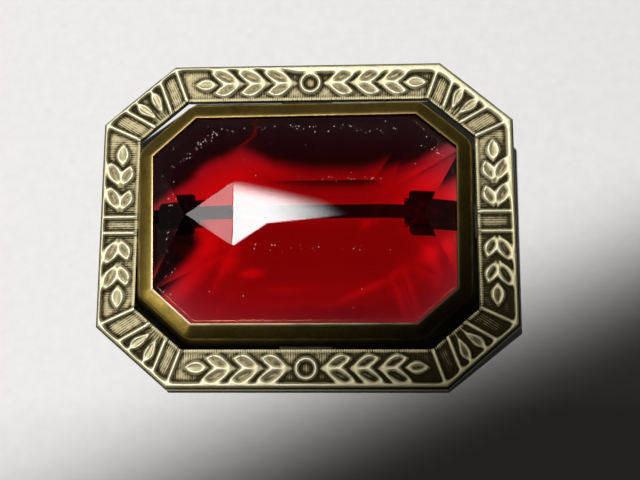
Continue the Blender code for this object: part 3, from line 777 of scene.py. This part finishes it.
# Patches of gathered light: middle x, y, half length, half width, turn in degrees, strength.
# The cut sends light away from the lower edge, where the strength is negative.
GATHERED = (
    (4.0, -9.0, 11.0, 2.2, 8.0, -0.16),
    (-9.2, 3.2, 3.2, 2.4, 20.0, 0.6), (-9.8, -1.0, 1.9, 1.5, 60.0, 0.6),
    (-12.2, -4.6, 3.4, 1.1, 52.0, 0.4), (-6.6, -3.0, 1.2, 0.6, 0.0, 0.7),
    (12.4, -2.2, 1.5, 1.0, 80.0, 0.6), (6.9, 0.4, 0.7, 0.5, 50.0, 0.4),
    (11.6, 4.4, 3.2, 1.6, 30.0, 0.6), (7.2, -5.1, 3.6, 0.4, 27.0, 0.34),
    (10.8, -6.0, 2.6, 0.35, 110.0, 0.3), (13.2, -3.8, 2.0, 0.4, 112.0, 0.25),
    (0.0, 0.9, 8.0, 0.9, 0.0, 0.1), (-2.6, -5.2, 2.4, 0.35, 0.0, 0.18),
    (11.3, -1.1, 1.4, 0.35, -45.0, 0.12), (3.0, 3.2, 6.5, 0.7, 0.0, 0.14),
    (-4.4, 4.4, 2.6, 0.9, -20.0, 0.2), (-9.0, -6.0, 3.0, 0.5, 60.0, 0.06),
    (-1.0, -6.8, 4.0, 0.3, 0.0, 0.05), (1.5, -3.0, 4.5, 0.25, -6.0, 0.04))
THROUGH_LEVEL = 0.4             # the share that reaches the table between the patches
TOWARD_LAMP = (-0.156, 0.24)    # how far a ray to the lamp moves sideways for each mm that it rises
CELL = 0.4 * MM                 # the stone's back is divided this finely to carry the light
BACK_DEPTH = 3.2                # mm, above the stone's lowest point: the facets higher up let all light in


def gathered_light(x, y):
    """Share of the lamp's light that reaches a point of the table through the stone, 0 to 1."""
    above = np.interp(x, *zip(*SHADE_ABOVE))
    beside = np.interp(y, *zip(*SHADE_LEFT))
    lit = smooth_step(0.9, -0.9, y - above) * smooth_step(-0.9, 0.9, x - beside)
    level = np.full_like(x, THROUGH_LEVEL)
    for middle_x, middle_y, length, width, turn, strength in GATHERED:
        turn = math.radians(turn)
        forward = (x - middle_x) * math.cos(turn) + (y - middle_y) * math.sin(turn)
        aside = (y - middle_y) * math.cos(turn) - (x - middle_x) * math.sin(turn)
        level = level + strength * np.exp(-(forward / length) ** 2 - (aside / width) ** 2)
    return np.clip(lit * level, 0.0, 1.0)


def diced(builder):
    """Cuts the facets of the back into small square cells."""
    for axis, reach in ((0, 18.0 * MM), (1, 13.0 * MM)):
        for index in range(int(-reach / CELL), int(reach / CELL) + 1):
            faces = [face for face in builder.faces if face.normal.z < -0.5]
            edges = dict.fromkeys(edge for face in faces for edge in face.edges)
            verts = dict.fromkeys(vert for face in faces for vert in face.verts)
            normal = Vector((axis == 0, axis == 1, 0.0))
            bmesh.ops.bisect_plane(builder, geom=faces + list(edges) + list(verts), dist=0.0,
                                   plane_co=normal * (index + 0.5) * CELL, plane_no=normal)
    bmesh.ops.triangulate(builder, faces=[face for face in builder.faces if len(face.verts) > 4])


def put_in_order(elements, place):
    """Numbers corners or faces by their place, because the cuts leave them in no fixed order."""
    found = sorted(elements, key=lambda element: tuple(round(part / MM, 3) for part in place(element)))
    for index, element in enumerate(found):
        element.index = index
    elements.sort()


def build_stone(material):
    """The glass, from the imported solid's corners, with its edges just broken and its back finely divided."""
    builder = bmesh.new()
    builder.from_mesh(frame["nodes"]["stone"].data)
    bmesh.ops.remove_doubles(builder, verts=builder.verts, dist=0.005 * MM)
    bmesh.ops.dissolve_limit(builder, angle_limit=math.radians(1.0), verts=builder.verts, edges=builder.edges)
    bmesh.ops.bevel(builder, geom=list(builder.edges), offset=0.04 * MM, segments=1, profile=0.5,
                    affect="EDGES", clamp_overlap=True)
    bmesh.ops.recalc_face_normals(builder, faces=builder.faces)
    diced(builder)
    put_in_order(builder.verts, lambda vert: vert.co)
    put_in_order(builder.faces, lambda face: face.calc_center_median())
    made = add_object("stone_cut", finished(builder, "stone_cut"), material)
    mesh = made.data
    points = np.empty(len(mesh.vertices) * 3)
    mesh.vertices.foreach_get("co", points)
    x, y, height = (points.reshape(-1, 3) / MM).T
    values = gathered_light(x - TOWARD_LAMP[0] * height, y - TOWARD_LAMP[1] * height)
    values[height > stone_low.z / MM + BACK_DEPTH] = 1.0
    carry(mesh, "gathered", values)
    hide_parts("stone")
    return made


def scuff_paint():
    """Broken glass surface: tiny whitish chips."""
    made, tree, shader = node_material("scuffed_glass")
    shade = noise(tree, object_point(tree), 3000.0, 2.0)
    tone = ramp(tree, shade, [(0.35, (0.22, 0.14, 0.12)), (0.62, (0.68, 0.6, 0.55))])
    tree.links.new(tone, shader.inputs["Base Color"])
    shader.inputs["Roughness"].default_value = 0.7
    return made


# Where the glass is scuffed: middle x, y, half length, half width in mm, turn in degrees, chips, largest chip
SCUFFS = ((-12.2, 8.6, 4.2, 0.7, 42.0, 60, 0.13), (-3.0, 10.7, 12.0, 0.7, 1.0, 45, 0.13),
          (8.0, 10.4, 8.0, 0.8, 0.0, 30, 0.12), (-15.3, -1.0, 0.6, 8.5, 0.0, 40, 0.12),
          (14.6, 8.2, 2.0, 0.8, -40.0, 16, 0.12), (4.5, 3.9, 6.5, 0.35, 0.0, 20, 0.09),
          (1.0, -3.9, 9.0, 0.4, 0.0, 30, 0.09),
          (0.0, 6.5, 18.0, 5.0, 0.0, 16, 0.08), (0.0, -8.0, 18.0, 4.0, 0.0, 10, 0.08))
CHIP_LIFT = 0.006 * MM      # how far the chips lie off the glass
CHIP_SIZE = 0.85


def add_chip(builder, chance, middle, normal, largest):
    """One flat five-cornered chip on the glass, most of them small."""
    size = CHIP_SIZE * largest * chance.uniform(0.25, 1.0) ** 2 * MM
    stretch = chance.uniform(1.0, 1.6)
    heading = chance.uniform(0.0, math.pi)
    across = normal.orthogonal().normalized()
    along = normal.cross(across)
    rim = []
    for corner in range(5):
        angle = 2.0 * math.pi * corner / 5.0 + heading
        radius = size * chance.uniform(0.6, 1.2)
        flat = across * math.cos(angle) * radius * stretch + along * math.sin(angle) * radius
        rim.append(builder.verts.new(middle + flat))
    builder.faces.new(rim)


def build_scuffs(material):
    """Small chips and rubbed spots on the glass, most of them close inside the lip."""
    source = frame["nodes"]["stone"]
    surface = BVHTree.FromPolygons([vert.co.copy() for vert in source.data.vertices],
                                   [tuple(face.vertices) for face in source.data.polygons])
    chance = np.random.default_rng(7)
    builder = bmesh.new()
    for middle_x, middle_y, half_x, half_y, turn, count, largest in SCUFFS:
        spin = Matrix.Rotation(math.radians(turn), 2)
        for _ in range(count):
            x, y = spin @ Vector((chance.normal() * half_x * 0.5, chance.normal() * half_y * 0.5))
            above = Vector(((middle_x + x) * MM, (middle_y + y) * MM, 0.02))
            hit, normal, _, _ = surface.ray_cast(above, Vector((0.0, 0.0, -1.0)))
            if hit is not None:
                add_chip(builder, chance, hit + normal * CHIP_LIFT, normal, largest)
    return add_object("stone_scuffs", finished(builder, "stone_scuffs"), material)


POINT_LENGTH = 6.0 * MM     # of the wire's ground point
PIN_STATIONS = 40
PIN_SIDES = 24


def build_pin(material):
    """The wire of the tong, from inside the eye to its point, as one piece."""
    builder = bmesh.new()
    turns = [2.0 * math.pi * step / PIN_SIDES for step in range(PIN_SIDES)]
    tip_x = stem_low.x
    radius = (stem_high.z - stem_low.z) / 2.0
    start_x = AXIS.x - 0.5 * MM
    stations = [(start_x, radius)]
    for step in range(1, PIN_STATIONS + 1):
        x = start_x + (tip_x - start_x) * (step / PIN_STATIONS)
        left = min(1.0, (x - tip_x) / POINT_LENGTH)
        stations.append((x, radius * max(0.06, 1.0 - (1.0 - left) ** 1.8 * 0.94)))
    stacked_solid(builder, [[(x, AXIS.y + r * math.cos(t), AXIS.z + r * math.sin(t)) for t in turns]
                            for x, r in stations])
    made = add_object("pin_tong", finished(builder, "pin_tong"), material, body=None, smooth_angle=40)
    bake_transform(made)
    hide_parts("pin_stem")
    return made


# ---- stage, light and camera

TABLE_HALF = 1500.0 * MM
# y in mm: the table is level at the first, and has its full slope at the second
SLOPE_START = (-23.0, -19.5)
SLOPE_END = (60.0, 30.0)


def build_stage():
    """The pale table top. It slopes under the brooch, which its catch tips onto its lower edge."""
    edge, foot = frame_low.z, hook_low
    reach = HALF_Y + SKIRT_FLARE
    slope = (edge - foot.z) / (foot.y + reach)
    far = TABLE_HALF / MM
    y = np.concatenate([[-far], np.arange(-60.0, 90.5, 0.5), [far]])
    share = smooth_step(*SLOPE_START, y) * smooth_step(*SLOPE_END, y)
    level = np.concatenate([[0.0], np.cumsum(np.diff(y) * (share[1:] + share[:-1]) / 2.0)]) * slope * MM
    level = edge - 0.03 * MM - (level - np.interp(-reach / MM, y, level))
    points = [(side * far * MM, row * MM, height) for side in (-1, 1) for row, height in zip(y, level)]
    count = len(y)
    mesh = bpy.data.meshes.new("table_top")
    mesh.from_pydata(points, [], [(row, count + row, count + row + 1, row + 1) for row in range(count - 1)])
    add_object("table_top", mesh, paper(), body=None, smooth_angle=60)


def aimed(name, data, position, target):
    """Links a light at a position, pointing at a target."""
    lamp = bpy.data.objects.new(name, data)
    bpy.context.scene.collection.objects.link(lamp)
    lamp.location = position
    lamp.rotation_mode = "QUATERNION"
    lamp.rotation_quaternion = (Vector(target) - Vector(position)).to_track_quat("-Z", "Y")
    return lamp


def reflected_panel(name, position, target, size, power, pieces):
    """A soft rectangular light that only shows as a reflection, in the given pieces."""
    data = bpy.data.lights.new(name, "AREA")
    data.shape = "RECTANGLE"
    data.size, data.size_y = size
    data.energy = power
    lamp = aimed(name, data, position, target)
    lit = bpy.data.collections.new(name + "_lit")
    for piece in pieces:
        lit.objects.link(piece)
    lamp.light_linking.receiver_collection = lit
    lamp.visible_diffuse = False
    lamp.visible_transmission = False
    lamp.visible_camera = False
    return lamp


# The edge lines of the lamp's face, each by a point, in mm, and its slope
LAMP_LOWER = ((-46.3, 77.7, 0.667), (-46.3, 77.7, 0.1))
LAMP_UPPER = ((-64.6, 102.4, -0.233), (-14.4, 90.7, -0.54))
LOWER_EDGE = (-0.5 * MM, 0.7 * MM)      # sharp
UPPER_EDGE = (-1.0 * MM, 9.0 * MM)      # soft
TAIL = (2.0 * MM, -50.0 * MM)           # x: dark at the first, fully bright at the second


def shape_lamp(lamp):
    """Gives the lamp's face its long tapering shape, sharp below and soft above, by masking its glow."""
    lamp.data.use_nodes = True
    tree = lamp.data.node_tree
    place = tree.nodes.new("ShaderNodeNewGeometry")
    split = tree.nodes.new("ShaderNodeSeparateXYZ")
    tree.links.new(place.outputs["Position"], split.inputs["Vector"])
    along, across = split.outputs["X"], split.outputs["Y"]

    def line(x, y, slope):
        """The line's y at this place of the lamp's face."""
        return maths(tree, "ADD", maths(tree, "MULTIPLY", along, slope), y * MM - slope * x * MM)

    def fade(value, low, high):
        """0 at low, 1 at high."""
        node = tree.nodes.new("ShaderNodeMapRange")
        node.interpolation_type = "SMOOTHSTEP"
        node.inputs["From Min"].default_value = low
        node.inputs["From Max"].default_value = high
        tree.links.new(value, node.inputs["Value"])
        return node.outputs["Result"]

    lower = maths(tree, "MINIMUM", line(*LAMP_LOWER[0]), line(*LAMP_LOWER[1]))
    upper = maths(tree, "MINIMUM", line(*LAMP_UPPER[0]), line(*LAMP_UPPER[1]))
    glow = fade(maths(tree, "SUBTRACT", across, lower), *LOWER_EDGE)
    glow = maths(tree, "MULTIPLY", glow, fade(maths(tree, "SUBTRACT", upper, across), *UPPER_EDGE))
    glow = maths(tree, "MULTIPLY", glow, fade(along, *TAIL))
    tree.links.new(glow, tree.nodes["Emission"].inputs["Strength"])


HORIZON = (0.075, 0.073, 0.07)       # the room's light from the sides
CEILING = (0.014, 0.0135, 0.013)     # and from above, where only the lamp is bright
KEY_AT = (-0.0675, 0.1035, 0.432)
KEY_TOWARD = (-0.3435, 0.7025, 0.0)  # aimed wide of the brooch, so that its cone ends across the lower right
KEY_CONE = 2.655
# The panels that only show as reflections: place, what they face, size in metres, power
FACE = ((-0.036, 0.083, 0.4), (-0.036, 0.083, 0.0), (0.084, 0.05), 0.3)
WALL = ((-0.165, 0.088, 0.4), (-0.165, 0.088, 0.0), (0.1, 0.1), 0.15)
WINDOW = ((-0.34, -0.1, 0.33), (0.0, 0.0, 0.0), (0.3, 0.16), 0.32)


def all_but(name, pieces):
    """A light-linking collection that stands for everything except these pieces."""
    left_out = bpy.data.collections.new(name)
    for piece in pieces:
        left_out.objects.link(piece)
    for member in left_out.collection_objects:
        member.light_linking.link_state = "EXCLUDE"
    return left_out


def build_world():
    """Dim room light, brighter from the sides than from above."""
    world = bpy.data.worlds.new("surround")
    bpy.context.scene.world = world
    world.use_nodes = True
    tree = world.node_tree
    toward = tree.nodes.new("ShaderNodeTexCoord").outputs["Generated"]
    split = tree.nodes.new("ShaderNodeSeparateXYZ")
    tree.links.new(toward, split.inputs["Vector"])
    room = ramp(tree, split.outputs["Z"], [(0.0, HORIZON), (0.12, HORIZON), (0.42, CEILING)])
    tree.links.new(room, tree.nodes["Background"].inputs["Color"])


def build_light(stone, metals, behind):
    """A small lamp almost overhead, a little to the upper left, and what the stone and the metals mirror."""
    key = bpy.data.lights.new("key", "SPOT")
    key.energy = 7.8
    key.color = (1.0, 0.985, 0.975)
    key.shadow_soft_size = 0.006
    key.spot_size = KEY_CONE
    key.spot_blend = 0.05
    key.cycles.use_multiple_importance_sampling = False
    lamp = aimed("key", key, KEY_AT, KEY_TOWARD)
    # The cut scatters the light round the fittings behind it, so they cast no shadow of this lamp,
    # and the stone mirrors the lamp's broad face instead
    lamp.light_linking.blocker_collection = all_but("key_blockers", behind)
    lamp.light_linking.receiver_collection = all_but("key_receivers", [stone])
    shape_lamp(reflected_panel("lamp_face", *FACE, [stone]))
    reflected_panel("wall_glow", *WALL, [stone] + metals)
    reflected_panel("window", *WINDOW, metals)
    build_world()


CAMERA_TURNS = (-10.36, -2.72, 0.43)        # lean, turn and roll, degrees
CAMERA_OFFSET = (-1.593, 2.116, -103.63)    # mm, the brooch's middle as the camera sees it


def build_camera():
    """A 50 mm view from above, leaning ten degrees towards the lower edge."""
    lean, turn, roll = (math.radians(degrees) for degrees in CAMERA_TURNS)
    facing = Matrix.Rotation(roll, 3, "Z") @ Matrix.Rotation(turn, 3, "Y") @ Matrix.Rotation(lean, 3, "X")
    data = bpy.data.cameras.new("camera")
    data.lens, data.sensor_width = 50.6, 36.0
    data.clip_start, data.clip_end = 0.005, 5.0
    camera = bpy.data.objects.new("camera", data)
    bpy.context.scene.collection.objects.link(camera)
    camera.rotation_mode = "QUATERNION"
    camera.rotation_quaternion = facing.transposed().to_quaternion()
    centre = Vector((0.0, 0.0, PANEL_Z + 0.1 * MM))
    camera.location = centre - facing.transposed() @ (Vector(CAMERA_OFFSET) * MM)
    bpy.context.scene.camera = camera


build_camera()
build_stage()

silver = antique_silver()
brass = aged_brass()
fitting = near_black_brass()
steel = pin_steel()
tin = solder()

metals = [build_leaf_frame(silver), build_bezel(brass)]
stone = build_stone(ruby_glass())
build_scuffs(scuff_paint())
behind = [build_pin(steel)]
behind += [carry_over(node, steel, 0.03 * MM) for node in ("joint_rivet", "pin_head")]
behind += [carry_over(node, fitting, 0.04 * MM) for node in (
    "stone_seat", "pin_bar", "joint_plate", "joint_knuckle", "catch_plate", "catch_hook")]
for node in ("bridge_top", "bridge_bottom", "bridge_left", "bridge_right"):
    carry_over(node, tin, 0.05 * MM)
build_light(stone, metals, behind)

bpy.context.scene.view_settings.view_transform = "Standard"
# The glass lets lamp light straight through to what lies behind, so the same light isn't counted twice
bpy.context.scene.cycles.caustics_refractive = False
bpy.context.scene.cycles.caustics_reflective = False
